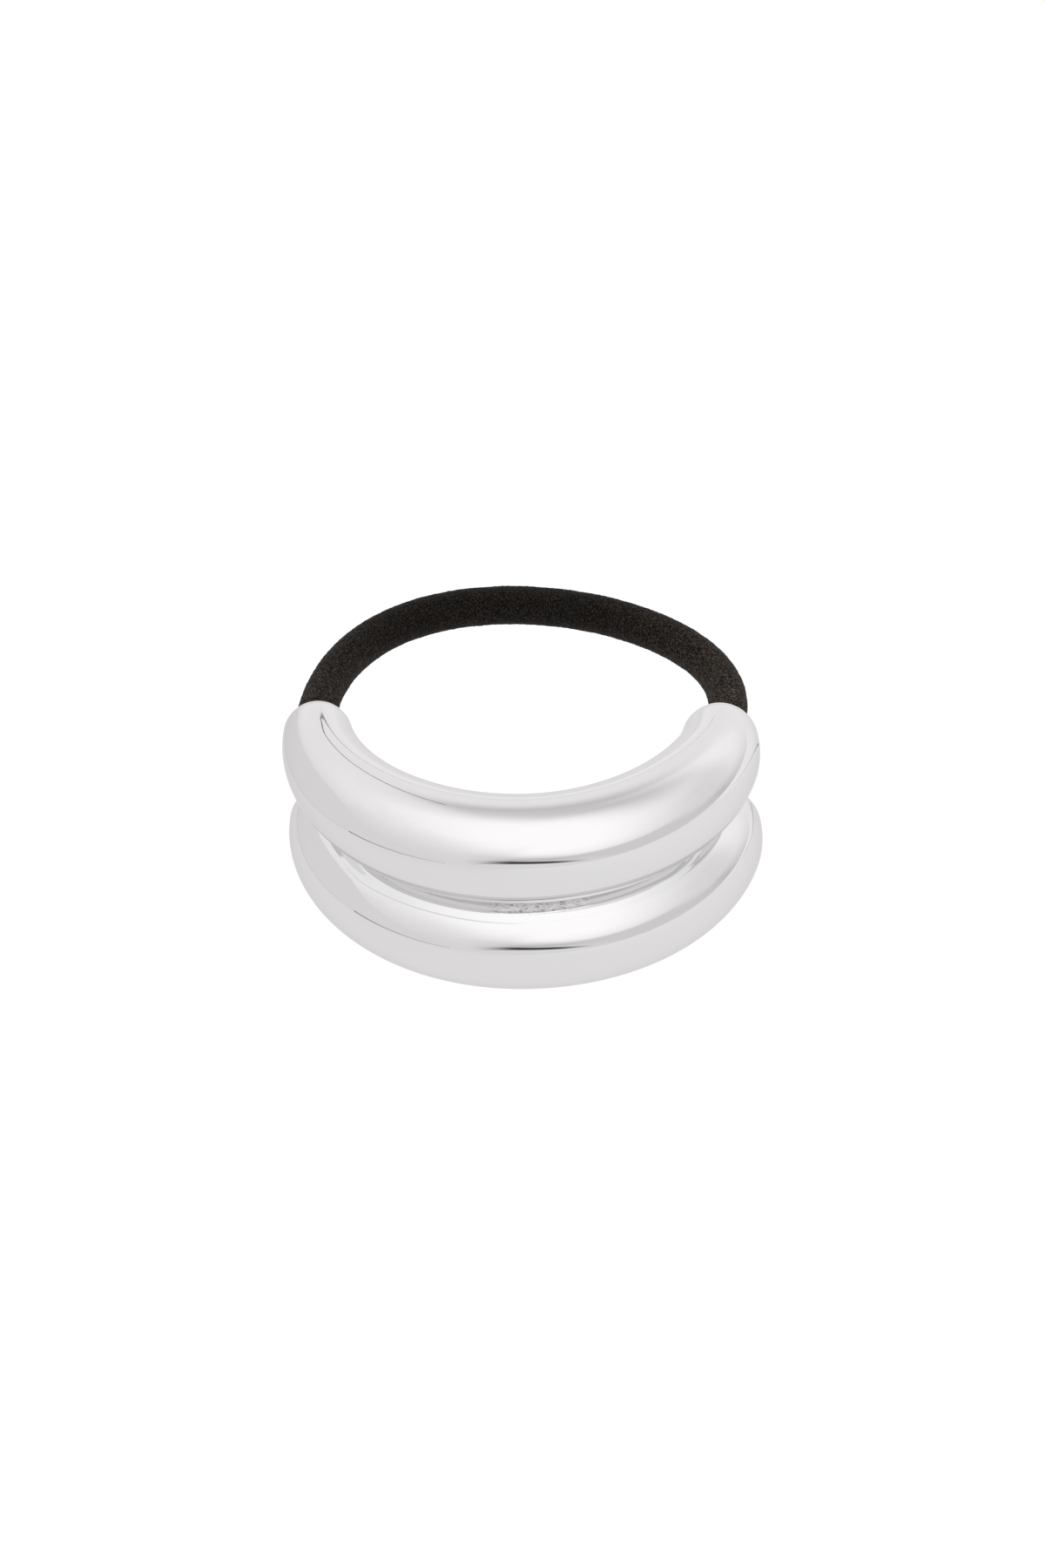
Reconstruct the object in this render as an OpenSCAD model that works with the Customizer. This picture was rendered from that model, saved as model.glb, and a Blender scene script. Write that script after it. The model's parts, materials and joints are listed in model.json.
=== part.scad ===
// Hair tie: a bright metal cuff of two puffed, tapered half-round tubes, one above the other,
// with a covered elastic that runs round the back from one upper tip to the other.
// Millimetres. Z is up, the cuff faces -Y, and the tie rests on Z = 0 as it does on a table.

/* [Cuff] */
// Radius of the bend, from the middle of the loop to the middle of a tube
bend_r = 23.4; // [22:0.1:26]
// How far each arm reaches round from the front, in degrees
arm_angle = 83; // [76:1:86]
// Radius of a tube at the front, where it is fattest
tube_r = 6.17; // [5.5:0.01:6.5]
// Radius of the left domed tips
left_tip_r = 4.0; // [3.6:0.1:4.8]
// Radius of the right domed tips, which came out a little fuller
right_tip_r = 4.45; // [3.6:0.05:5]
// How long the left half of a tube stays full before it tapers: a higher number tapers later
left_taper = 2.3; // [2:0.1:4]
// The same for the right half
right_taper = 3.4; // [2:0.1:4]
// How far the right tips were bent inwards
right_tip_in = 0.4; // [0:0.1:0.8]
// Sideways set of the lower tube against the upper one
lower_set = 0.3; // [0:0.1:0.8]

/* [Solder seam] */
// How far the two tubes are pressed into each other at the front
seam_bite = 0.06; // [0.04:0.01:0.12]
// Middle of the solder left in the groove, in degrees of the bend to the right of the front
bead_middle = 7; // [0:1:8]
// Half the length of that solder, in degrees of the bend
bead_angle = 12; // [8:1:18]
// Radius of the solder bead at the middle
bead_r = 0.8; // [0.5:0.1:1]
// How far the bead lies in front of the line where the tubes touch
bead_out = 1.7; // [1.4:0.1:2]

/* [Elastic] */
// Thickness of the covered elastic
elastic_d = 4.4; // [4:0.1:4.6]
// How strongly the elastic bows out of the left tip
left_bow = 35.5; // [30:0.5:38]
// How strongly the elastic bows out of the right tip
right_bow = 22.5; // [20:0.5:32]
// How far the elastic turns inwards as it leaves the left tip, in degrees
left_turn = 11; // [0:1:14]
// How far it turns outwards as it leaves the right tip
right_turn = 1; // [0:1:4]
// Depth of the socket in each tip, from the top of its dome
socket_depth = 4.5; // [3.5:0.1:5]
// Free room round the elastic in its sockets, and at its ends
socket_gap = 0.1; // [0.05:0.05:0.2]

/* [Hidden] */
// Facets: rings along an arm, rings over a dome, sides round a tube
arm_rings = 22;
dome_rings = 5;
tube_sides = 36;
bead_rings = 6;
bead_sides = 10;
elastic_rings = 56;
elastic_sides = 18;
// The angle from which the right tips bend inwards
turn_in_from = 72;

// The tubes lie one above the other, pressed together at the front
tube_step = 2 * tube_r - seam_bite;
elastic_r = elastic_d / 2;
bead_tip_r = bead_r / 4;

// A point on the bend at an angle round it, where 0 is the front, and the way along it
function bend_point(angle, radius = bend_r) = [radius * sin(angle), -radius * cos(angle), 0];
function bend_way(angle) = [cos(angle), sin(angle), 0];
// Middle of the upper tube at that angle
function tip_in(angle) = angle > turn_in_from
    ? right_tip_in * pow((angle - turn_in_from) / (arm_angle - turn_in_from), 1.5) : 0;
function arm_point(angle) = bend_point(angle, bend_r - tip_in(angle));
// Radius of a tube at that angle, and how fast it shrinks towards the tip
function tip_r(angle) = angle < 0 ? left_tip_r : right_tip_r;
function taper(angle) = angle < 0 ? left_taper : right_taper;
function puff_r(angle) = tube_r - (tube_r - tip_r(angle)) * pow(abs(angle) / arm_angle, taper(angle));
function puff_slope(angle) = (tube_r - tip_r(angle)) * taper(angle)
    * pow(abs(angle) / arm_angle, taper(angle) - 1) / (arm_angle * PI / 180);

// How it rests: the weight of a bent tube balances over this angle of both arms, and a level floor
// touches the taper of each arm there.
balance_angle = acos(sin(arm_angle) / (arm_angle * PI / 180));
taper_slope = (puff_slope(balance_angle) + puff_slope(-balance_angle)) / 2;
lean_back = asin(taper_slope / (bend_r * sin(balance_angle)));
lean_side = asin((puff_r(balance_angle) - puff_r(-balance_angle)) / (2 * bend_r * sin(balance_angle)));

// A point of the cuff after it has leant back and to the side
function leant(p) = let (
    y = p[1] * cos(lean_back) + p[2] * sin(lean_back),
    z = p[2] * cos(lean_back) - p[1] * sin(lean_back)
) [p[0] * cos(lean_side) - z * sin(lean_side), y, p[0] * sin(lean_side) + z * cos(lean_side)];

// The elastic's way: a cubic curve from one dome to the other, with a straight end in each socket
left_way = -bend_way(-arm_angle - left_turn);
right_way = bend_way(arm_angle - right_turn);
left_mouth = arm_point(-arm_angle) - left_tip_r * bend_way(-arm_angle);
right_mouth = arm_point(arm_angle) + right_tip_r * right_way;
bow_points = [left_mouth, left_mouth + left_bow * left_way, right_mouth + right_bow * right_way, right_mouth];
function bow_point(s) =
    pow(1 - s, 3) * bow_points[0] + 3 * pow(1 - s, 2) * s * bow_points[1]
    + 3 * (1 - s) * s * s * bow_points[2] + pow(s, 3) * bow_points[3];
end_length = socket_depth - socket_gap;
elastic_route = concat(
    [left_mouth - end_length * left_way],
    [for (i = [0 : elastic_rings]) bow_point(i / elastic_rings)],
    [right_mouth - end_length * right_way]
);

// Where it stands: its box is centred on the origin, and its lowest point is on the floor
arm_samples = [for (i = [-arm_rings : arm_rings]) arm_angle * i / arm_rings];
upper_balls = [for (a = arm_samples) [leant(arm_point(a)), puff_r(a)]];
lower_balls = [for (a = arm_samples) [leant(arm_point(a) + [lower_set, 0, -tube_step]), puff_r(a)]];
elastic_balls = [for (p = elastic_route) [leant(p), elastic_r]];
all_balls = concat(upper_balls, lower_balls, elastic_balls);
function low(axis) = min([for (b = all_balls) b[0][axis] - b[1]]);
function high(axis) = max([for (b = all_balls) b[0][axis] + b[1]]);
stand_at = [-(low(0) + high(0)) / 2, -(low(1) + high(1)) / 2, -low(2)];

// A round skin over rings of points: each ring is [middle, way along, radius], and the ends are closed
module skin(rings, sides) {
    points = [for (ring = rings) let (side = cross([0, 0, 1], ring[1])) for (i = [0 : sides - 1])
        ring[0] + ring[2] * (cos(360 * i / sides) * side + sin(360 * i / sides) * [0, 0, 1])];
    last = len(rings) - 1;
    walls = [for (r = [0 : last - 1]) for (i = [0 : sides - 1]) let (j = (i + 1) % sides)
        [r * sides + i, (r + 1) * sides + i, (r + 1) * sides + j, r * sides + j]];
    start_cap = [[for (i = [0 : sides - 1]) i]];
    end_cap = [[for (i = [sides - 1 : -1 : 0]) last * sides + i]];
    polyhedron(points, concat(start_cap, walls, end_cap), convexity = 6);
}

// Rings over a dome, from near its pole down to the arm
function dome_ring(angle, r, side, share) = let (turn = 90 * share) [
    arm_point(angle) + side * r * cos(turn) * bend_way(angle), bend_way(angle), r * sin(turn)];

// One puffed, tapered tube with a dome on each tip
module puffed_tube() {
    skin(concat(
        [for (i = [0 : dome_rings - 1]) dome_ring(-arm_angle, left_tip_r, -1, (i + 0.25) / dome_rings)],
        [for (a = arm_samples) [arm_point(a), bend_way(a), puff_r(a)]],
        [for (i = [dome_rings - 1 : -1 : 0]) dome_ring(arm_angle, right_tip_r, 1, (i + 0.25) / dome_rings)]
    ), tube_sides);
}

// The solder that fills the groove at the front
module solder_bead() {
    skin([for (i = [-bead_rings : bead_rings]) let (
        share = i / bead_rings,
        a = bead_middle + bead_angle * share
    ) [
        bend_point(a, bend_r + bead_out) - [0, 0, tube_step / 2],
        bend_way(a),
        bead_tip_r + (bead_r - bead_tip_r) * (1 - share * share)
    ]], bead_sides);
}

// A round socket for the elastic, from its blind end out through the dome
module socket(mouth, way) {
    translate(mouth - socket_depth * way)
        rotate([90, 0, atan2(way[1], way[0]) + 90])
            cylinder(r = elastic_r + socket_gap, h = 2 * socket_depth, $fn = 48);
}

// Sets a piece down as the tie rests
module resting() {
    translate(stand_at)
        rotate([0, -lean_side, 0])
            rotate([-lean_back, 0, 0])
                children();
}

module double_tube_cuff() {
    color("gainsboro")
        resting()
            difference() {
                union() {
                    puffed_tube();
                    translate([lower_set, 0, -tube_step]) puffed_tube();
                    solder_bead();
                }
                socket(left_mouth, left_way);
                socket(right_mouth, right_way);
            }
}

// Ways along the elastic: straight in the sockets, and along the curve between them
module elastic_loop() {
    last = len(elastic_route) - 1;
    color("#24211e")
        resting()
            skin([for (i = [0 : last]) let (
                to = elastic_route[min(i + 1, last)] - elastic_route[max(i - 1, 0)],
                way = i <= 1 ? left_way : i >= last - 1 ? -right_way : to / norm(to)
            ) [elastic_route[i], way, elastic_r]], elastic_sides);
}

double_tube_cuff();
elastic_loop();
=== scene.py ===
"""A ponytail hair tie: a bright plated cuff of two puffed tubes, closed by a covered elastic."""

import json
from bisect import bisect_right
from math import acos, asin, atan, cos, hypot, pi, radians, sin

import bmesh
import bpy
from mathutils import Matrix, Vector, noise


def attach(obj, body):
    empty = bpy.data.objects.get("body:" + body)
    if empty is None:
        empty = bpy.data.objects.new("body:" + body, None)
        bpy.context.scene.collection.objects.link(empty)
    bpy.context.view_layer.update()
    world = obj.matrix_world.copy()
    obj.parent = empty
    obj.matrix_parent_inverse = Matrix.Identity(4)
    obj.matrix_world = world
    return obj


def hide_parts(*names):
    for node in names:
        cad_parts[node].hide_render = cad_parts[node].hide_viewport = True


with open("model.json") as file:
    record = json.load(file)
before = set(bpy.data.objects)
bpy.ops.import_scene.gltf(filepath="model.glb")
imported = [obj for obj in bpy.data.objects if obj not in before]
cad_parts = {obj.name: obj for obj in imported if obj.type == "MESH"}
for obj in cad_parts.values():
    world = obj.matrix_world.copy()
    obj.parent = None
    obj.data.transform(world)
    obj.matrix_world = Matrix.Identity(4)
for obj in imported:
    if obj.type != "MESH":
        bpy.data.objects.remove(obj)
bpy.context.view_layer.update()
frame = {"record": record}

# How the tie lies
# The cuff rests on its lower tube and leans back a little. All its shapes are made in the plane of
# the loop, in millimetres, and set down here: the loop's middle and its axis are the opening's mount.
MM = 0.001
opening = next(m for m in frame["record"]["mounts"] if m["name"] == "ponytail_opening")
loop_up = Vector(opening["axis"]).normalized()
loop_side = Vector((0, 1, 0)).cross(loop_up).normalized()
loop_back = loop_up.cross(loop_side)
loop_at = Vector(opening["pos_m"])
loop_turn = Matrix((loop_side, loop_back, loop_up)).transposed().to_4x4()
lying = Matrix.Translation(loop_at) @ loop_turn @ Matrix.Scale(MM, 4)

# Camera
# It looks down on the cuff from the front, a little from the right. The frame is 1200 x 1800
# pixels, and the middle of the loop is a little above the middle of the picture.
view_distance = 0.8
view_pitch = radians(36.771)
view_swing = radians(3.7)
view_roll = radians(-1.365)
frame_height = 0.18
loop_left_of_middle = 0.000109
loop_above_middle = 0.006905
camera_data = bpy.data.cameras.new("camera")
camera_data.sensor_width = 36
camera_data.lens = camera_data.sensor_width * view_distance / frame_height
camera = bpy.data.objects.new("camera", camera_data)
bpy.context.scene.collection.objects.link(camera)
camera.matrix_world = (
    Matrix.Translation(loop_at) @ loop_turn
    @ Matrix.Rotation(view_swing, 4, "Z")
    @ Matrix.Rotation(pi / 2 - view_pitch, 4, "X")
    @ Matrix.Translation((0, 0, view_distance))
    @ Matrix.Rotation(view_roll, 4, "Z")
    @ Matrix.Rotation(-atan(loop_above_middle / view_distance), 4, "X")
    @ Matrix.Rotation(-atan(loop_left_of_middle / view_distance), 4, "Y")
)
bpy.context.scene.camera = camera
bpy.context.scene.view_settings.view_transform = "Standard"


# Studio
# A white table lit from below, in a tent of white paper. The mirror-bright tubes show the tent:
# the big soft light above and in front, the dark gap below it, and the edges of the paper.
def add_node(tree, kind, inputs=None, **settings):
    """Adds a shader node, sets its properties, and sets or links its inputs."""
    node = tree.nodes.new(kind)
    for name, value in settings.items():
        setattr(node, name, value)
    for name, value in (inputs or {}).items():
        if isinstance(value, bpy.types.NodeSocket):
            tree.links.new(value, node.inputs[name])
        else:
            node.inputs[name].default_value = value
    return node


def linear(hex_colour):
    """An sRGB hex colour as linear red, green, blue and alpha."""
    parts = [int(hex_colour[i:i + 2], 16) / 255 for i in (1, 3, 5)]
    return [c / 12.92 if c <= 0.04045 else ((c + 0.055) / 1.055) ** 2.4 for c in parts] + [1]


world = bpy.data.worlds.new("light_tent")
bpy.context.scene.world = world
world.use_nodes = True
tent = world.node_tree
tent.nodes.clear()
way = add_node(tent, "ShaderNodeTexCoord").outputs["Generated"]
way = add_node(tent, "ShaderNodeVectorMath", {0: way}, operation="NORMALIZE").outputs["Vector"]
parts = add_node(tent, "ShaderNodeSeparateXYZ", {0: way})
height = add_node(tent, "ShaderNodeMath", {0: parts.outputs["Z"]}, operation="ARCSINE")
height = add_node(tent, "ShaderNodeMath", {0: height.outputs[0]}, operation="DEGREES").outputs[0]
front = add_node(tent, "ShaderNodeMath", {0: parts.outputs["Y"], 1: -1.0}, operation="MULTIPLY")
round_about = add_node(
    tent, "ShaderNodeMath", {0: parts.outputs["X"], 1: front.outputs[0]}, operation="ARCTAN2")
round_about = add_node(
    tent, "ShaderNodeMath", {0: round_about.outputs[0]}, operation="DEGREES").outputs[0]

# Brightness of the tent's walls by height in degrees
walls = add_node(tent, "ShaderNodeMapRange", {
    "Value": height, "From Min": 32.4, "From Max": 58.0, "To Min": 0.94, "To Max": 1.39},
    interpolation_type="SMOOTHSTEP")
glow = walls.outputs["Result"]


def soft_edge(distance, half_size, softness):
    """1 inside the half size, and 0 beyond it, with a soft edge."""
    return add_node(tent, "ShaderNodeMapRange", {
        "Value": distance, "From Min": half_size - softness, "From Max": half_size + softness,
        "To Min": 1.0, "To Max": 0.0}, interpolation_type="SMOOTHSTEP").outputs["Result"]


def patch(glow, azimuth, elevation, half_width, half_height, side_soft, top_soft, light, sag, lean):
    """Lays a soft-edged patch of that light over the tent, at a direction in degrees."""
    lift = add_node(tent, "ShaderNodeMath", {0: height, 1: float(elevation)}, operation="SUBTRACT")
    lift = lift.outputs[0]
    turn = add_node(tent, "ShaderNodeMath", {0: round_about, 1: float(azimuth)}, operation="SUBTRACT")
    turn = add_node(tent, "ShaderNodeMath", {
        0: lift, 1: -lean / 10, 2: turn.outputs[0]}, operation="MULTIPLY_ADD").outputs[0]
    turn = add_node(tent, "ShaderNodeMath", {0: turn, 1: 180.0, 2: -180.0}, operation="WRAP").outputs[0]
    drop = add_node(tent, "ShaderNodeMath", {0: turn, 1: turn}, operation="MULTIPLY").outputs[0]
    lift = add_node(tent, "ShaderNodeMath", {0: drop, 1: sag / 400, 2: lift}, operation="MULTIPLY_ADD")
    turn = add_node(tent, "ShaderNodeMath", {0: turn}, operation="ABSOLUTE")
    lift = add_node(tent, "ShaderNodeMath", {0: lift.outputs[0]}, operation="ABSOLUTE")
    inside = add_node(tent, "ShaderNodeMath", {
        0: soft_edge(turn.outputs[0], half_width, side_soft),
        1: soft_edge(lift.outputs[0], half_height, top_soft)}, operation="MULTIPLY")
    return add_node(tent, "ShaderNodeMix", {
        "Factor": inside.outputs[0], "A": glow, "B": float(light)}).outputs["Result"]


# Each patch: azimuth, elevation, half width, half height, softness sideways and up, light, sag, lean.
# They were fitted until the tubes mirrored them in the right places, and then rounded.
# The big soft light above
glow = patch(glow, 22, 58, 54, 41, 47, 23, 1.42, -1.2, -0.6)
# Paper walls behind the left arm
glow = patch(glow, -128, 44, 92, 18, 60, 25, 1.16, 0.5, 2.3)
# A card low in front, to the right
glow = patch(glow, 57, 9.4, 27.5, 9.4, 13, 2.6, 0.86, -0.6, -8)
# The dark gap under the soft light, where the camera looks in, after its soft fringe
glow = patch(glow, 4, 18, 20, 0.6, 13, 14, 0.28, 2.4, -7)
glow = patch(glow, -1.7, 12.9, 21, 2.8, 7, 1.2, 0.06, 4.4, -8)
# The back wall: bright low down, dimmer above, with a shade in its middle
glow = patch(glow, 155, 40, 17, 29, 14, 18, 1.24, 6, 7)
glow = patch(glow, 155, 61, 43, 14, 60, 14, 0.76, 0.2, 8)
glow = patch(glow, -178, 49, 16, 7, 8, 18, 0.66, -3, 3)
# A shade low on the right, and the feet of the walls on the left and behind
glow = patch(glow, 104, 3, 0.4, 7, 34, 6, 0.5, -2, -8)
glow = patch(glow, -58, 0, 44, 15, 8, 25, 0.97, -3, 4)
glow = patch(glow, 174, 0, 36, 20, 23, 25, 1.21, -3, 8)
tent_light = 0.83
glow = add_node(tent, "ShaderNodeMath", {0: glow, 1: tent_light}, operation="MULTIPLY").outputs[0]
background = add_node(tent, "ShaderNodeBackground", {"Color": [1, 1, 1, 1], "Strength": glow})
add_node(tent, "ShaderNodeOutputWorld", {"Surface": background.outputs[0]})


def make_piece(name, bm, *materials):
    """Turns a finished bmesh, in metres, into a smooth-shaded object at the origin."""
    mesh = bpy.data.meshes.new(name)
    bm.to_mesh(mesh)
    bm.free()
    mesh.shade_smooth()
    for material in materials:
        mesh.materials.append(material)
    piece = bpy.data.objects.new(name, mesh)
    bpy.context.scene.collection.objects.link(piece)
    return piece


def new_material(name):
    """An empty material with its output node."""
    material = bpy.data.materials.new(name)
    material.use_nodes = True
    material.node_tree.nodes.clear()
    return material, material.node_tree, add_node(material.node_tree, "ShaderNodeOutputMaterial")


# Opal acrylic over a lamp: white, and without shadows. Its mirror image in the tubes is dimmer, as
# in the photo, and a little brighter towards the back, so the mirror sees a copy of its own.
def glowing(name, light):
    """A white material that gives off that light."""
    material, tree, out = new_material(name)
    shader = add_node(tree, "ShaderNodeBsdfPrincipled", {
        "Base Color": linear("#303030"), "Roughness": 0.8, "Specular IOR Level": 0.0,
        "Emission Color": [1, 1, 1, 1], "Emission Strength": light})
    tree.links.new(shader.outputs[0], out.inputs["Surface"])
    return material, tree, shader


def only_in_mirrors(piece):
    """Keeps a part of the studio out of everything but mirror images."""
    piece.visible_camera = piece.visible_diffuse = piece.visible_shadow = False


table_half = 4.0
table_bm = bmesh.new()
bmesh.ops.create_grid(table_bm, x_segments=1, y_segments=1, size=table_half)
table = make_piece("light_table", table_bm, glowing("opal_acrylic_light_table", 1.0)[0])
table.visible_glossy = False

opal, tree, shader = glowing("opal_acrylic_in_the_mirror", 0.82)
place = add_node(tree, "ShaderNodeTexCoord").outputs["Object"]
place = add_node(tree, "ShaderNodeSeparateXYZ", {0: place})
behind = add_node(tree, "ShaderNodeMapRange", {
    "Value": place.outputs["Y"], "From Min": 0.02, "From Max": 0.06, "To Min": 0.82, "To Max": 0.89})
rightward = add_node(tree, "ShaderNodeMapRange", {
    "Value": place.outputs["X"], "From Min": -0.1, "From Max": 0.08, "To Min": 0.95, "To Max": 1.05})
light = add_node(tree, "ShaderNodeMath", {
    0: behind.outputs["Result"], 1: rightward.outputs["Result"]}, operation="MULTIPLY")
tree.links.new(light.outputs[0], shader.inputs["Emission Strength"])
dim_bm = bmesh.new()
just_below = Matrix.Translation((0, 0, -0.1 * MM))
bmesh.ops.create_grid(dim_bm, x_segments=1, y_segments=1, size=table_half, matrix=just_below)
only_in_mirrors(make_piece("light_table_in_mirror", dim_bm, opal))


def paper_strip(name, corners, across, light):
    """A strip of paper from those corners, in millimetres, each to its own way across."""
    bm = bmesh.new()
    for share in (0, 1):
        for corner, over in zip(corners, across):
            bm.verts.new((Vector(corner) + share * Vector(over)) * MM)
    bm.verts.ensure_lookup_table()
    count = len(corners)
    for i in range(count - 1):
        bm.faces.new([bm.verts[k] for k in (i, i + 1, count + i + 1, count + i)])
    only_in_mirrors(make_piece(name, bm, glowing(name, light)[0]))


# The cards that stand round the table, the dark slots under them, and a dark seam of the tent.
# A card's feet are x, y and its height there.
# The strips glow and show only in mirrors: the cards with painted light of lit paper, and the slots under
# them with painted shade, dark for the shade in the gap under each card.
left_feet = [(-40, 34, 18), (-46, 26, 22), (-56, 10, 34), (-66, -6, 42), (-76, -20, 42), (-87, -35, 41),
             (-99, -62, 40), (-113, -96, 40), (-135, -170, 40), (-180, -330, 40)]
right_feet = [(36, 22), (48, 28), (70, 37), (95, 43), (112, 42), (180, 50), (270, 69), (400, 90)]
paper_strip("left_card", [(x, y, 0) for x, y, _ in left_feet], [(0, 0, h) for _, _, h in left_feet], 0.76)
near_feet, far_feet = left_feet[:6], left_feet[5:]
near_foot_line = [(x + 0.1, y, 0) for x, y, _ in near_feet]
far_foot_line = [(x + 0.1, y, 0) for x, y, _ in far_feet]
paper_strip("left_slot_painted_shade_near", near_foot_line, [(0, 0, 1)] * len(near_feet), 0.66)
paper_strip("left_slot_painted_shade_far", far_foot_line, [(0, 0, 1.8)] * len(far_feet), 0.06)
paper_strip("right_slot_painted_shade", [(x, y, 0) for x, y in right_feet], [(0, 0, 1)] * len(right_feet), 0.42)
tent_seam = [(-13, 292, 92), (-45, 285, 106), (-64, 276, 121), (-74, 269, 130), (-76, 261, 144),
             (-77, 246, 165), (-75, 230, 188), (-72, 209, 212), (-67, 189, 233), (-59, 169, 252)]
paper_strip("tent_seam", tent_seam, [(3.5, 0, 0)] * len(tent_seam), 0.10)

# Cuff
# Two tubes of brass, puffed and tapered, closed with domed tips, bent half round, soldered one on
# the other at the front, polished, and plated. They are hollow, but no opening shows it.
bend_r = 23.4
arm_angle = radians(83)
tube_r = 6.17
left_tip_r, right_tip_r = 4.0, 4.45
left_taper, right_taper = 2.3, 3.4
right_tip_in = 0.4
turn_in_from = radians(72)
seam_bite = 0.06
lower_set = 0.3
elastic_r = 2.2
left_turn, right_turn = radians(11), radians(1)
socket_depth = 4.5
hole_r = elastic_r + 0.12
lip_r = 0.15
tube_step = 2 * tube_r - seam_bite
tube_sides = 128
arm_steps = 166
dome_steps = 22
lip_steps = 4


def bend_way(angle):
    """The way along the bend at that angle, towards the right tip. The angle is 0 at the front."""
    return Vector((cos(angle), sin(angle), 0))


def arm_point(angle):
    """The middle of the upper tube at that angle, in the plane of the loop."""
    turn_in = max(angle - turn_in_from, 0) / (arm_angle - turn_in_from)
    radius = bend_r - right_tip_in * turn_in ** 1.5
    return Vector((radius * sin(angle), -radius * cos(angle), 0))


def puff_r(angle):
    """Radius of a tube at that angle."""
    tip_r, taper = (left_tip_r, left_taper) if angle < 0 else (right_tip_r, right_taper)
    return tube_r - (tube_r - tip_r) * abs(angle / arm_angle) ** taper


def arm_ring(angle):
    """Middle, way and radius of the ring where a ball rolled along the arm touches its skin."""
    nudge = 0.001
    step = arm_point(angle + nudge) - arm_point(angle - nudge)
    slope = (puff_r(angle + nudge) - puff_r(angle - nudge)) / step.length
    way, radius = step.normalized(), puff_r(angle)
    return arm_point(angle) - radius * slope * way, way, radius * cos(asin(slope))


def dome_rings(tip_angle, side, top_turn, top_out):
    """Rings over a tip's dome, from its top down to the arm; turns are from the top, in radians."""
    start, way, _ = arm_ring(tip_angle)
    ball, radius = arm_point(tip_angle), puff_r(tip_angle)
    end_turn = acos((start - ball).length / radius)
    rings = []
    for step in range(dome_steps):
        turn = top_turn + (end_turn - top_turn) * step / dome_steps
        out = top_out.lerp(side * way, step / dome_steps).normalized()
        rings.append((ball + radius * cos(turn) * out, side * out, radius * sin(turn)))
    return rings


def socket_rings(tip_angle, side, mouth, way):
    """Rings from the blind end of a socket out to its rounded lip, and then over the dome."""
    ball, radius = arm_point(tip_angle), puff_r(tip_angle)
    lip_turn = asin((hole_r + lip_r) / radius)
    lip_at = mouth - radius * (1 - cos(lip_turn)) * way
    blind_end = mouth - socket_depth * way
    rings = [(blind_end, side * way, 0.02), (blind_end, side * way, hole_r)]
    for step in range(lip_steps, 0, -1):
        turn = pi / 2 * step / lip_steps
        rings.append((lip_at - lip_r * (1 - cos(turn)) * way, side * way, hole_r + lip_r * (1 - sin(turn))))
    return rings + dome_rings(tip_angle, side, lip_turn, (lip_at - ball).normalized())


def cylinder(last, sides):
    """A straight closed cylinder of radius 1, with a ring at each whole height up to the last."""
    bm = bmesh.new()
    bmesh.ops.create_cone(
        bm, cap_ends=True, cap_tris=True, segments=sides, radius1=1, radius2=1, depth=last,
        matrix=Matrix.Translation((0, 0, last / 2)))
    long_edges = [e for e in bm.edges if abs(e.verts[0].co.z - e.verts[1].co.z) > 0.5]
    bmesh.ops.subdivide_edges(bm, edges=long_edges, cuts=last - 1, use_grid_fill=True)
    return bm


def face_outwards(bm):
    """Turns the faces of a closed bmesh outwards; on a bent form the operator alone can miss."""
    bmesh.ops.recalc_face_normals(bm, faces=bm.faces)
    if bm.calc_volume(signed=True) < 0:
        bmesh.ops.reverse_faces(bm, faces=bm.faces)


def skin(rings, sides):
    """Bends a straight cylinder over rings of middle, way and radius, and gives its bmesh."""
    bm = cylinder(len(rings) - 1, sides)
    for v in bm.verts:
        middle, way, radius = rings[round(v.co.z)]
        across = Vector((0, 0, 1)).cross(way)
        v.co = middle + radius * (v.co.x * across + Vector((0, 0, v.co.y)))
    face_outwards(bm)
    return bm


def add(bm, other):
    """Adds another bmesh to this one."""
    mesh = bpy.data.meshes.new("loose")
    other.to_mesh(mesh)
    other.free()
    bm.from_mesh(mesh)
    bpy.data.meshes.remove(mesh)


left_way = -bend_way(-arm_angle - left_turn)
right_way = bend_way(arm_angle - right_turn)
left_mouth = arm_point(-arm_angle) - left_tip_r * bend_way(-arm_angle)
right_mouth = arm_point(arm_angle) + right_tip_r * right_way
arm = [arm_ring(arm_angle * (2 * step / arm_steps - 1)) for step in range(arm_steps + 1)]
cuff_bm = skin(
    socket_rings(-arm_angle, -1, left_mouth, left_way) + arm
    + socket_rings(arm_angle, 1, right_mouth, right_way)[::-1], tube_sides)

top_turn = radians(0.5)
lower_bm = skin(
    dome_rings(-arm_angle, -1, top_turn, -arm[0][1]) + arm
    + dome_rings(arm_angle, 1, top_turn, arm[-1][1])[::-1], tube_sides)
bmesh.ops.translate(lower_bm, vec=(lower_set, 0, -tube_step), verts=lower_bm.verts)
add(cuff_bm, lower_bm)

# Solder fills the groove all along; at the front it set rough. Each ring of a straight cylinder
# becomes one section of it: flats that leave both tubes smoothly, and a notch between them. A contact
# is the angle round a tube, from straight outwards to where the solder leaves it.
solder_from, solder_to = radians(-60), radians(64)
solder_steps, solder_sides = 420, 64
front_contact, side_contact_more, side_angle = radians(50.5), radians(4), radians(35)
end_contact_more, thins_from = radians(25), 0.6
flat_length, flat_thins, flat_lean, flat_runs_on = 1.0, 0.9, radians(2.5), 1.185
fold_at = 0.6
notch_by_lift, notch_by_depth, notch_straight = 2.2, 0.55, 0.6
ends_draw_back = radians(4)
rough_middle, rough_half, rough_up_to = radians(7.5), radians(14), 0.62
lump_depth, lump_width, grit_depth, grit_width = 0.02, 0.4, 0.01, 0.14
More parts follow.
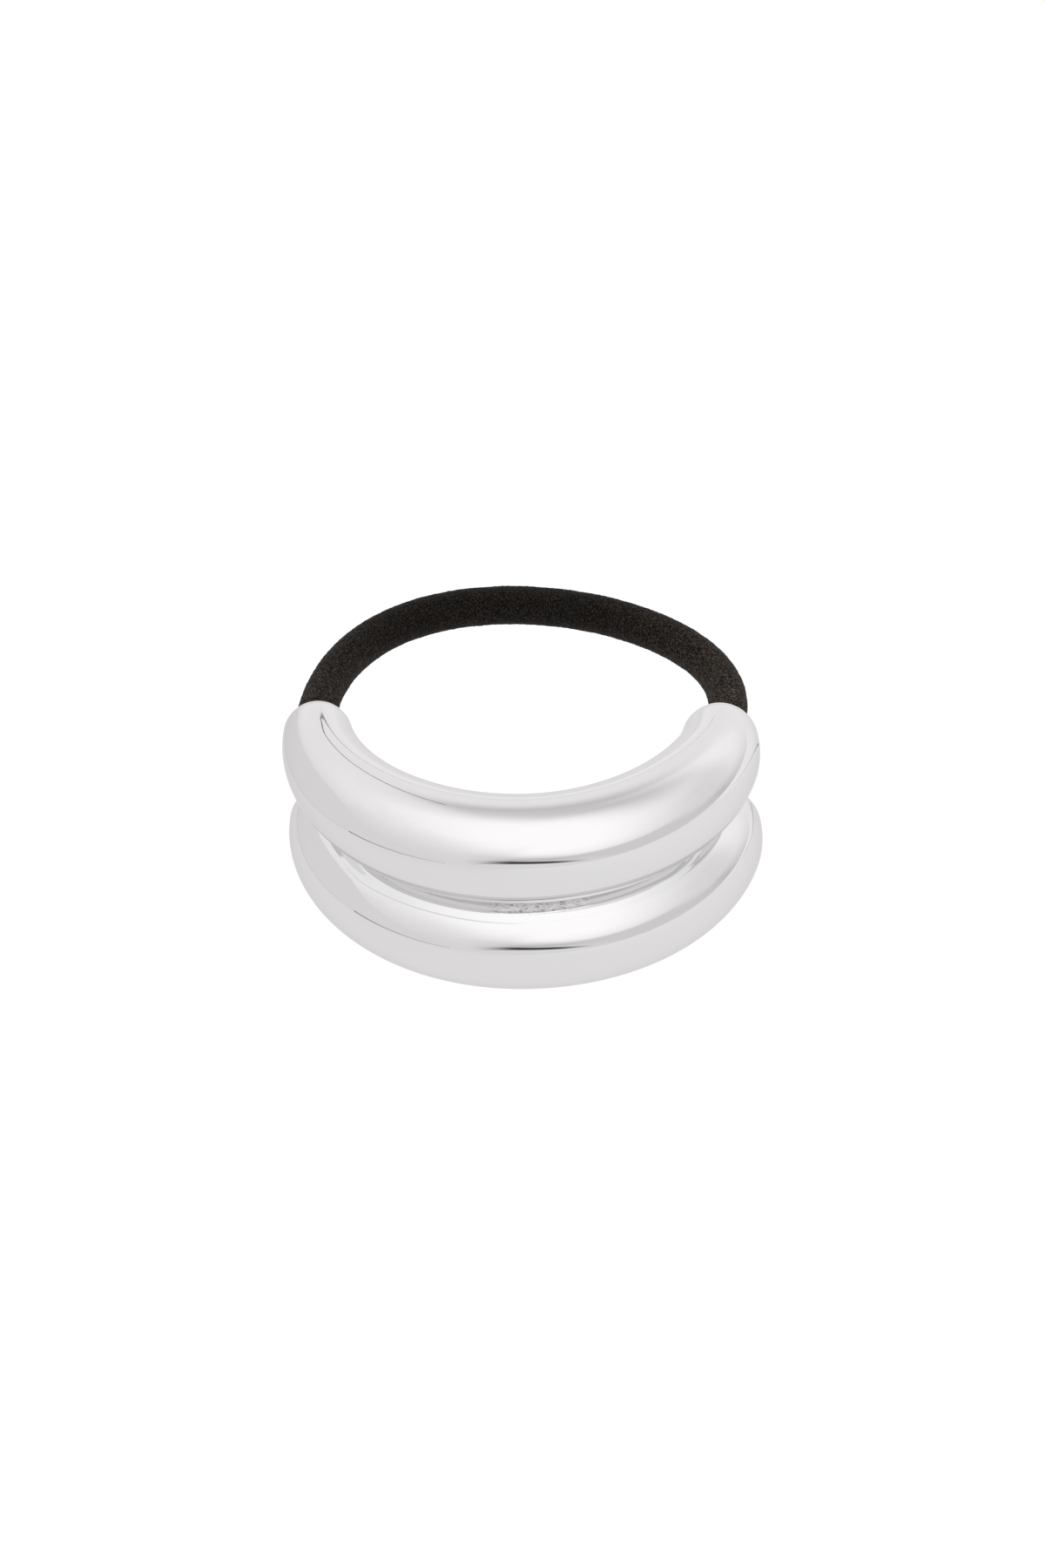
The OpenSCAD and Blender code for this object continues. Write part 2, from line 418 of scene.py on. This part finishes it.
# Without a number of its own, the noise would put the lumps in other places on each run
lump_seed = 1
noise.seed_set(lump_seed)
web_bm = cylinder(solder_steps, solder_sides)
rough = web_bm.verts.layers.float.new("rough")
for v in web_bm.verts:
    # 0 is the deepest line of the notch, and 1 is where the solder meets a tube
    round_the_ring = asin(min(abs(v.co.y), 1)) / (pi / 2)
    share = v.co.z / solder_steps
    end = 2 * share - 1
    angle = solder_from + (solder_to - solder_from) * share
    angle -= ends_draw_back * (1 - round_the_ring ** 2) * end ** 9
    thin = max(abs(end) - thins_from, 0) / (1 - thins_from)
    contact = front_contact + side_contact_more * min(abs(angle) / side_angle, 1)
    contact += end_contact_more * thin * thin
    radius = puff_r(angle)
    # The lower tube is set sideways, so the line between the two tubes leans by this shift
    shift = lower_set * sin(angle)
    half = hypot(shift, tube_step) / 2
    flat = flat_length * (1 - flat_thins * thin)
    steep = contact - flat_lean
    touch_lift, touch_depth = half - radius * sin(contact), radius * cos(contact)
    fold_lift, fold_depth = touch_lift - flat * cos(steep), touch_depth - flat * sin(steep)
    if round_the_ring > fold_at:
        on_flat = flat_runs_on * (round_the_ring - fold_at) / (1 - fold_at)
        lift = fold_lift + on_flat * (touch_lift - fold_lift)
        depth = fold_depth + on_flat * (touch_depth - fold_depth)
    else:
        inward = 1 - round_the_ring / fold_at
        lift = fold_lift * (1 - inward)
        notch = min(notch_by_lift * fold_lift, notch_by_depth * fold_depth)
        depth = fold_depth - notch * (notch_straight * inward + (1 - notch_straight) * inward ** 2)
    if v.co.y < 0:
        lift = -lift
    if hypot(v.co.x, v.co.y) < 0.5:
        depth = 0
    elif v.co.x < -0.0001:
        depth = -depth
    if v.co.x > 0:
        v[rough] = max(1 - (abs(angle - rough_middle) / rough_half) ** 4, 0)
        v[rough] *= max(1 - (round_the_ring / rough_up_to) ** 8, 0)
    out = Vector((sin(angle), -cos(angle), 0))
    v.co = (arm_point(angle) + out * (shift / 2 + (depth * tube_step - lift * shift) / (2 * half))
            + Vector((0, 0, (depth * shift + lift * tube_step) / (2 * half) - tube_step / 2)))
    lump = lump_depth * noise.noise_vector(v.co / lump_width)
    grit = grit_depth * noise.noise_vector(v.co / grit_width)
    v.co += v[rough] * (lump + grit)
for face in web_bm.faces:
    face.material_index = 1
face_outwards(web_bm)
add(cuff_bm, web_bm)
bmesh.ops.transform(cuff_bm, matrix=lying, verts=cuff_bm.verts)

# Bright plating on polished brass: a near-neutral mirror, a little uneven from the polishing wheel
wheel_waves = 1.4 * MM
wheel_depth = 0.0012 * MM
polish_clouds = 8 * MM
plating, tree, out = new_material("polished_bright_plating")
place = add_node(tree, "ShaderNodeTexCoord").outputs["Object"]
wheel = add_node(tree, "ShaderNodeTexNoise", {"Vector": place, "Scale": 1 / wheel_waves, "Detail": 3.0})
uneven = add_node(tree, "ShaderNodeBump", {
    "Height": wheel.outputs["Fac"], "Strength": 1.0, "Distance": wheel_depth})
haze = add_node(tree, "ShaderNodeTexNoise", {"Vector": place, "Scale": 1 / polish_clouds, "Detail": 4.0})
roughness = add_node(tree, "ShaderNodeMapRange", {
    "Value": haze.outputs["Fac"], "From Min": 0.35, "From Max": 0.7, "To Min": 0.02, "To Max": 0.05})
shader = add_node(tree, "ShaderNodeBsdfPrincipled", {
    "Base Color": linear("#ebe9ea"), "Metallic": 1.0, "Roughness": roughness.outputs["Result"],
    "Specular Tint": [0.87, 0.86, 0.87, 1], "Normal": uneven.outputs["Normal"]})
tree.links.new(shader.outputs[0], out.inputs["Surface"])

# The same plating over the solder: smooth, but pitted and hazy where it set rough at the front. There,
# dark specks of painted shade, drawn out along the groove, stand for the shade in its pits and crevices.
pit_width = 0.25 * MM
pit_depth = 0.04 * MM
pit_shade_width = 0.24 * MM
solder, tree, out = new_material("plated_solder")
place = add_node(tree, "ShaderNodeTexCoord").outputs["Object"]
rough_here = add_node(tree, "ShaderNodeAttribute", attribute_name="rough").outputs["Fac"]
pits = add_node(tree, "ShaderNodeTexNoise", {"Vector": place, "Scale": 1 / pit_width, "Detail": 5.0})
pitted = add_node(tree, "ShaderNodeMath", {0: pits.outputs["Fac"], 1: rough_here}, operation="MULTIPLY")
uneven = add_node(tree, "ShaderNodeBump", {
    "Height": pitted.outputs[0], "Strength": 1.0, "Distance": pit_depth})
haze = add_node(tree, "ShaderNodeMapRange", {
    "Value": rough_here, "From Min": 0.0, "From Max": 1.0, "To Min": 0.035, "To Max": 0.12})
# Painted shade: random dark specks darken the rough solder's colour, for the shade in its pits
drawn = add_node(tree, "ShaderNodeMapping", {"Vector": place, "Scale": (0.4, 1.0, 1.3)})
pit_shade_noise = add_node(tree, "ShaderNodeTexNoise", {
    "Vector": drawn.outputs["Vector"], "Scale": 1 / pit_shade_width, "Detail": 3.0})
painted_pit_shade = add_node(tree, "ShaderNodeMapRange", {
    "Value": pit_shade_noise.outputs["Fac"], "From Min": 0.54, "From Max": 0.66, "To Min": 0.0, "To Max": 0.75})
rough_tone_with_pit_shade = add_node(tree, "ShaderNodeMix", {
    "Factor": painted_pit_shade.outputs["Result"], "A": linear("#f3f2f2"), "B": linear("#a19d9d")}, data_type="RGBA")
tone = add_node(tree, "ShaderNodeMix", {
    "Factor": rough_here, "A": linear("#ebeaea"), "B": rough_tone_with_pit_shade.outputs[2]}, data_type="RGBA")
shader = add_node(tree, "ShaderNodeBsdfPrincipled", {
    "Base Color": tone.outputs[2], "Metallic": 1.0, "Roughness": haze.outputs["Result"],
    "Specular Tint": [0.87, 0.86, 0.87, 1], "Normal": uneven.outputs["Normal"]})
tree.links.new(shader.outputs[0], out.inputs["Surface"])

cuff = make_piece("plated_cuff", cuff_bm, plating, solder)
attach(cuff, "root")
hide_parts("double_tube_cuff")

# Elastic
# A round rubber core in a fine knitted cover with a short nap, 4.4 mm across. It is cut to 81 mm,
# and its ends are glued into the sockets of the upper tube's tips.
left_bow = 35.5
right_bow = 22.5
end_length = socket_depth - 0.1
cord_sides = 90
cord_step = 0.14
bow_samples = 600
nap_height = 0.05
swell_depth, swell_length = 0.04, 2
tuft_depth, tuft_spacing = 0.06, 0.32
bow = [left_mouth, left_mouth + left_bow * left_way, right_mouth + right_bow * right_way, right_mouth]


def bow_point(s):
    """A point of the cubic curve that the elastic follows between its sockets."""
    return ((1 - s) ** 3 * bow[0] + 3 * (1 - s) ** 2 * s * bow[1]
            + 3 * (1 - s) * s * s * bow[2] + s ** 3 * bow[3])


route = [left_mouth - end_length * left_way]
route += [bow_point(i / bow_samples) for i in range(bow_samples + 1)]
route += [right_mouth - end_length * right_way]
reach = [0.0]
for here, there in zip(route, route[1:]):
    reach.append(reach[-1] + (there - here).length)


def along(distance):
    """The point of the route at that distance from its left end, and the way there."""
    i = min(max(bisect_right(reach, distance) - 1, 0), len(route) - 2)
    share = (distance - reach[i]) / (reach[i + 1] - reach[i])
    before, after = route[max(i - 1, 0)], route[min(i + 2, len(route) - 1)]
    return route[i].lerp(route[i + 1], share), (after - before).normalized()


cord_bm = bmesh.new()
bmesh.ops.create_cone(
    cord_bm, cap_ends=True, segments=cord_sides, radius1=elastic_r, radius2=elastic_r,
    depth=reach[-1], matrix=Matrix.Translation((0, 0, reach[-1] / 2)))
long_edges = [e for e in cord_bm.edges if abs(e.verts[0].co.z - e.verts[1].co.z) > 1]
bmesh.ops.subdivide_edges(
    cord_bm, edges=long_edges, cuts=int(reach[-1] / cord_step), use_grid_fill=True)
straight = cord_bm.verts.layers.float_vector.new("straight")
for v in cord_bm.verts:
    v[straight] = v.co
    middle, forward = along(v.co.z)
    side = Vector((0, 0, 1)).cross(forward)
    nap = nap_height
    nap += swell_depth * noise.noise(v.co / swell_length) + tuft_depth * noise.noise(v.co / tuft_spacing)
    if min(v.co.z, reach[-1] - v.co.z) < socket_depth:
        nap = 0
    swell = 1 + nap / elastic_r
    v.co = middle + swell * v.co.x * side + Vector((0, 0, swell * v.co.y))
face_outwards(cord_bm)
bmesh.ops.transform(cord_bm, matrix=lying, verts=cord_bm.verts)

# Knitted polyester with a short nap: matt near-black, warm, with fine pale fibre ends. Towards the
# sockets it is painted paler, as painted light and sheen where the ends of the cord catch more light.
least_end_light = 36.0
end_light_from, end_light_to = 14.0, 37.0
tuft_width, tuft_thickness = 0.28, 0.14
lint_spacing = 0.38
rib_depth = 0.1 * MM
velour, tree, out = new_material("black_velour_knit")
cord = add_node(tree, "ShaderNodeAttribute", attribute_name="straight").outputs["Vector"]
across = add_node(tree, "ShaderNodeMapping", {
    "Vector": cord, "Scale": (1 / tuft_width, 1 / tuft_width, 1 / tuft_thickness)})
strands = add_node(tree, "ShaderNodeTexNoise", {
    "Vector": across.outputs["Vector"], "Scale": 1.0, "Detail": 3.0, "Roughness": 0.65})
lit = add_node(tree, "ShaderNodeMapRange", {
    "Value": strands.outputs["Fac"], "From Min": 0.48, "From Max": 0.65, "To Min": 0.0, "To Max": 1.0})
# Painted light: the fibres are painted paler away from the middle of the cord, towards both sockets
apart = add_node(tree, "ShaderNodeSeparateXYZ", {0: cord})
apart = add_node(tree, "ShaderNodeMath", {0: apart.outputs["Z"], 1: least_end_light}, operation="SUBTRACT")
apart = add_node(tree, "ShaderNodeMath", {0: apart.outputs[0]}, operation="ABSOLUTE")
painted_end_light = add_node(tree, "ShaderNodeMapRange", {
    "Value": apart.outputs[0], "From Min": end_light_from, "From Max": end_light_to, "To Min": 0.0, "To Max": 1.0})
fibres = add_node(tree, "ShaderNodeMix", {
    "Factor": painted_end_light.outputs["Result"], "A": linear("#352d27"), "B": linear("#5e5248")}, data_type="RGBA")
pile = add_node(tree, "ShaderNodeMix", {
    "Factor": lit.outputs["Result"], "A": linear("#040302"), "B": fibres.outputs[2]}, data_type="RGBA")
flecks = add_node(tree, "ShaderNodeTexVoronoi", {
    "Vector": cord, "Scale": 1 / lint_spacing, "Randomness": 1.0})
fleck = add_node(tree, "ShaderNodeMapRange", {
    "Value": flecks.outputs["Distance"], "From Min": 0.05, "From Max": 0.11, "To Min": 1.0, "To Max": 0.0})
lint = add_node(tree, "ShaderNodeMath", {
    0: flecks.outputs["Color"], 1: 0.86}, operation="GREATER_THAN")
lint = add_node(tree, "ShaderNodeMath", {
    0: lint.outputs[0], 1: fleck.outputs["Result"]}, operation="MULTIPLY")
cover = add_node(tree, "ShaderNodeMix", {
    "Factor": lint.outputs[0], "A": pile.outputs[2], "B": linear("#8c867c")}, data_type="RGBA")
ribs = add_node(tree, "ShaderNodeBump", {
    "Height": strands.outputs["Fac"], "Strength": 0.7, "Distance": rib_depth})
shader = add_node(tree, "ShaderNodeBsdfPrincipled", {
    "Base Color": cover.outputs[2], "Roughness": 0.95, "Specular IOR Level": 0.12,
    "Sheen Weight": 0.03, "Sheen Roughness": 0.6, "Normal": ribs.outputs["Normal"]})
tree.links.new(shader.outputs[0], out.inputs["Surface"])

elastic = make_piece("covered_elastic", cord_bm, velour)
# Its mirror image in the cuff is left out, as in the photo
elastic.visible_glossy = False
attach(elastic, "root")
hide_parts("elastic_loop")
